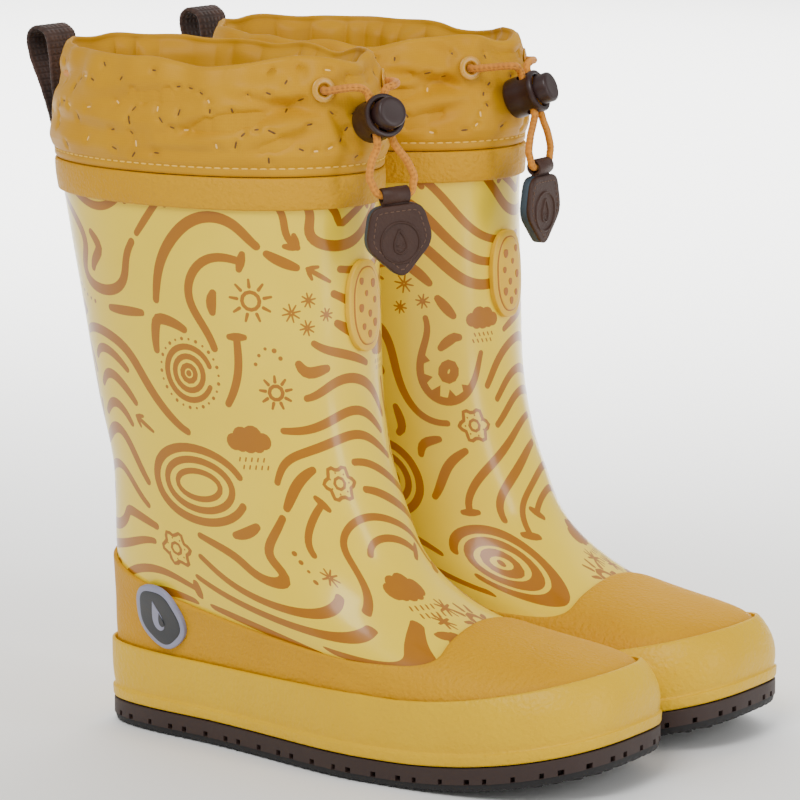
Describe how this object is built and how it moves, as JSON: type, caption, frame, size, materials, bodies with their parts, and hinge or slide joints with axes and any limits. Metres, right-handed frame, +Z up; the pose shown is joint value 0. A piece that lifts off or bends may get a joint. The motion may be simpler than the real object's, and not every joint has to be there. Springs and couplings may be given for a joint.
{
  "type": "pair of rain boots",
  "caption": "Pair of tall children's rubber rain boots with fabric cuffs that draw in with an elastic cord, a push-button cord lock and a hanging tag.",
  "frame": {"origin": "on the ground, in the middle of the pair's length and width", "axes": "+X towards the toes, +Y towards the left boot, +Z up"},
  "size_m": [0.2398, 0.1678, 0.2305],
  "materials": {
    "outsole_rubber": "matt moulded",
    "foam": "matt foam",
    "foxing_rubber": "fine leather grain, satin",
    "overlay_rubber": "fine grain, matt",
    "shaft_rubber": "glossy with printed pattern",
    "band_rubber": "pebbled, satin",
    "lining_cloth": "brushed knit",
    "cuff_nylon": "fine woven, gathered",
    "reflective": "reflective film",
    "badge_rubber": "moulded, satin",
    "cord_weave": "braided elastic",
    "lock_plastic": "fine spark texture",
    "spring_steel": "drawn wire",
    "tag_leather": "embossed and stitched",
    "webbing": "melange webbing"
  },
  "bodies": {
    "right_boot": {"right_outsole": "outsole_rubber", "right_midsole": "foam", "right_foxing": "foxing_rubber", "right_shaft": "shaft_rubber", "right_lining": "lining_cloth", "right_insole": "foam", "right_overlay": "overlay_rubber", "right_top_band": "band_rubber", "right_cuff": "cuff_nylon", "right_back_strip": "foxing_rubber", "right_back_seam": "overlay_rubber", "right_heel_badge": "reflective", "right_shin_badge": "badge_rubber", "right_eyelet_outer": "cord_weave", "right_eyelet_inner": "cord_weave", "right_drawcord": "cord_weave", "right_cord_end_outer": "cord_weave", "right_cord_end_inner": "cord_weave"},
    "right_lock": {"right_lock_body": "lock_plastic", "right_lock_spring": "spring_steel", "right_cord_loop": "cord_weave"},
    "right_button": {"right_lock_button": "lock_plastic"},
    "right_tag": {"right_tag_front": "tag_leather", "right_tag_back": "tag_leather", "right_tag_strap": "tag_leather"},
    "right_pull_loop": {"right_pull_loop": "webbing"},
    "left_boot": {"left_outsole": "outsole_rubber", "left_midsole": "foam", "left_foxing": "foxing_rubber", "left_shaft": "shaft_rubber", "left_lining": "lining_cloth", "left_insole": "foam", "left_overlay": "overlay_rubber", "left_top_band": "band_rubber", "left_cuff": "cuff_nylon", "left_back_strip": "foxing_rubber", "left_back_seam": "overlay_rubber", "left_heel_badge": "reflective", "left_shin_badge": "badge_rubber", "left_eyelet_outer": "cord_weave", "left_eyelet_inner": "cord_weave", "left_drawcord": "cord_weave", "left_cord_end_outer": "cord_weave", "left_cord_end_inner": "cord_weave"},
    "left_lock": {"left_lock_body": "lock_plastic", "left_lock_spring": "spring_steel", "left_cord_loop": "cord_weave"},
    "left_button": {"left_lock_button": "lock_plastic"},
    "left_tag": {"left_tag_front": "tag_leather", "left_tag_back": "tag_leather", "left_tag_strap": "tag_leather"},
    "left_pull_loop": {"left_pull_loop": "webbing"}
  },
  "joints": [
    {"name": "left_boot_lift", "type": "slide", "parent": "right_boot", "child": "left_boot", "axis": [0, 0, 1], "range_m": [0, 0.3]},
    {"name": "right_lock_draw", "type": "slide", "parent": "right_boot", "child": "right_lock", "axis": [0.8, 0, -0.6], "range_m": [0, 0.012], "stiffness_N_per_m": 150},
    {"name": "right_button_press", "type": "slide", "parent": "right_lock", "child": "right_button", "axis": [-0.7698, 0.539, -0.342], "range_m": [0, 0.002], "stiffness_N_per_m": 1000, "springref_m": -0.002, "deforming": ["right_lock_spring"]},
    {"name": "right_tag_swing", "type": "hinge", "parent": "right_lock", "child": "right_tag", "pos_m": [0.03145, -0.0527, 0.1866], "axis": [-0.5736, -0.8192, 0], "range_deg": [-5, 70]},
    {"name": "right_pull_loop_fold", "type": "hinge", "parent": "right_boot", "child": "right_pull_loop", "pos_m": [-0.1036, -0.0425, 0.1938], "axis": [0, -1, 0], "range_deg": [0, 55], "stiffness_Nm_per_rad": 0.03},
    {"name": "left_lock_draw", "type": "slide", "parent": "left_boot", "child": "left_lock", "axis": [0.8, 0, -0.6], "range_m": [0, 0.012], "stiffness_N_per_m": 150},
    {"name": "left_button_press", "type": "slide", "parent": "left_lock", "child": "left_button", "axis": [-0.9374, -0.0655, -0.342], "range_m": [0, 0.002], "stiffness_N_per_m": 1000, "springref_m": -0.002, "deforming": ["left_lock_spring"]},
    {"name": "left_tag_swing", "type": "hinge", "parent": "left_lock", "child": "left_tag", "pos_m": [0.03215, 0.0378, 0.1866], "axis": [0.0698, -0.9976, 0], "range_deg": [-5, 70]},
    {"name": "left_pull_loop_fold", "type": "hinge", "parent": "left_boot", "child": "left_pull_loop", "pos_m": [-0.1036, 0.0425, 0.1938], "axis": [0, -1, 0], "range_deg": [0, 55], "stiffness_Nm_per_rad": 0.03}
  ]
}
